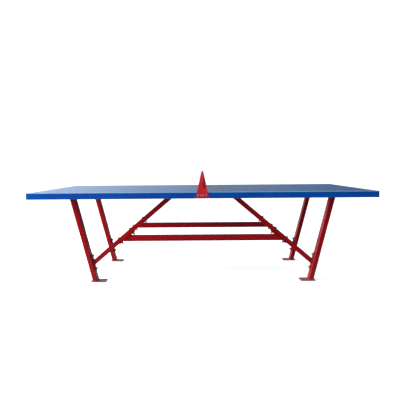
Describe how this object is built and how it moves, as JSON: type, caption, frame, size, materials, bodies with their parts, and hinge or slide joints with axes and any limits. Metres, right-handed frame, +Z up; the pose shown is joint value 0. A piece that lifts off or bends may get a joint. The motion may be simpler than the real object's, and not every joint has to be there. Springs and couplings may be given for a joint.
{
  "type": "table tennis table",
  "caption": "Fixed outdoor table tennis table: blue playing boards in a deep blue steel apron, on leaning red steel legs with diagonal braces, tie beams and a perforated steel net.",
  "frame": {"origin": "on the floor under the middle of the table, at the middle of the outside box's underside", "axes": "+X along the table to the right-hand end, +Y across it to the rear, +Z up"},
  "size_m": [2.74, 1.5536, 0.91],
  "materials": {
    "board": "smooth resin playing surface, satin to glossy",
    "apron": "satin powder coat",
    "frame": "glossy powder coat with a little orange peel",
    "net": "satin powder coat",
    "foot": "powder coat, dulled and dusty",
    "zinc": "bright zinc plate"
  },
  "bodies": {
    "root": {"playing_board_left": "board", "front_rail_left": "apron", "rear_rail_left": "apron", "end_rail_left": "apron", "centre_rail_left": "apron", "playing_board_right": "board", "front_rail_right": "apron", "rear_rail_right": "apron", "end_rail_right": "apron", "centre_rail_right": "apron", "bearer_front_left": "apron", "leg_front_left": "frame", "foot_plate_front_left": "foot", "brace_front_left": "frame", "brace_flange_front_left": "frame", "leg_stud_upper_front_left": "zinc", "leg_stud_lower_front_left": "zinc", "beam_bolt_upper_front_left": "zinc", "beam_bolt_lower_front_left": "zinc", "bearer_front_right": "apron", "leg_front_right": "frame", "foot_plate_front_right": "foot", "brace_front_right": "frame", "brace_flange_front_right": "frame", "leg_stud_upper_front_right": "zinc", "leg_stud_lower_front_right": "zinc", "beam_bolt_upper_front_right": "zinc", "beam_bolt_lower_front_right": "zinc", "bearer_rear_left": "apron", "leg_rear_left": "frame", "foot_plate_rear_left": "foot", "brace_rear_left": "frame", "brace_flange_rear_left": "frame", "leg_stud_upper_rear_left": "zinc", "leg_stud_lower_rear_left": "zinc", "beam_bolt_upper_rear_left": "zinc", "beam_bolt_lower_rear_left": "zinc", "bearer_rear_right": "apron", "leg_rear_right": "frame", "foot_plate_rear_right": "foot", "brace_rear_right": "frame", "brace_flange_rear_right": "frame", "leg_stud_upper_rear_right": "zinc", "leg_stud_lower_rear_right": "zinc", "beam_bolt_upper_rear_right": "zinc", "beam_bolt_lower_rear_right": "zinc", "beam_front": "frame", "beam_rear": "frame", "net_panel": "net", "net_bracket_front": "net", "bracket_bolt_front_1": "zinc", "bracket_bolt_front_2": "zinc", "bracket_bolt_front_3": "zinc", "bracket_bolt_front_4": "zinc", "net_bracket_rear": "net", "bracket_bolt_rear_1": "zinc", "bracket_bolt_rear_2": "zinc", "bracket_bolt_rear_3": "zinc", "bracket_bolt_rear_4": "zinc"}
  },
  "joints": []
}
